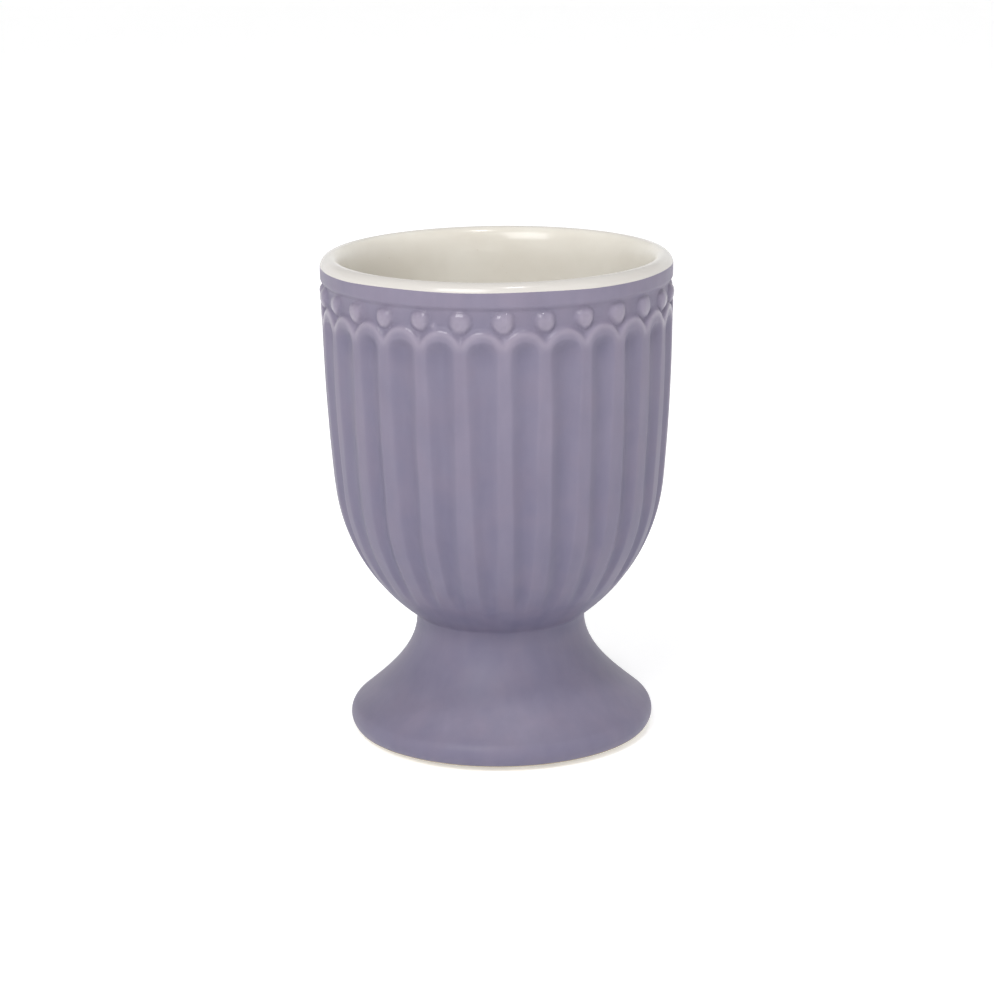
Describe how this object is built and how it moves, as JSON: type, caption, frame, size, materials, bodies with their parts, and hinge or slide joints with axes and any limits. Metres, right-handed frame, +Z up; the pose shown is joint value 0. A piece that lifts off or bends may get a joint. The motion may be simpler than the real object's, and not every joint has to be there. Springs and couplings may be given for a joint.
{
  "type": "egg cup",
  "caption": "Footed stoneware egg cup with a round fluted bowl, a row of beads under a plain band, a narrow neck and a flared foot; it stands on a flat foot ring and holds a boiled egg upright.",
  "frame": {"origin": "centre of the foot ring's underside, on the table", "axes": "+Z up along the cup's axis of rotation; the front seen in the picture faces -Y"},
  "size_m": [0.05, 0.05, 0.07],
  "materials": {
    "stoneware": "fired stoneware, unglazed, matt and slightly gritty",
    "slip": "fired clay slip, matt",
    "cream_glaze": "cream satin-gloss glaze",
    "lavender_glaze": "grey lavender satin glaze, paler where it runs thin over edges"
  },
  "bodies": {
    "root": {"bowl": "stoneware", "foot": "stoneware", "slip_joint": "slip", "bead_row": "stoneware", "lining_glaze": "cream_glaze", "outer_glaze": "lavender_glaze", "hollow_glaze": "lavender_glaze"}
  },
  "joints": []
}
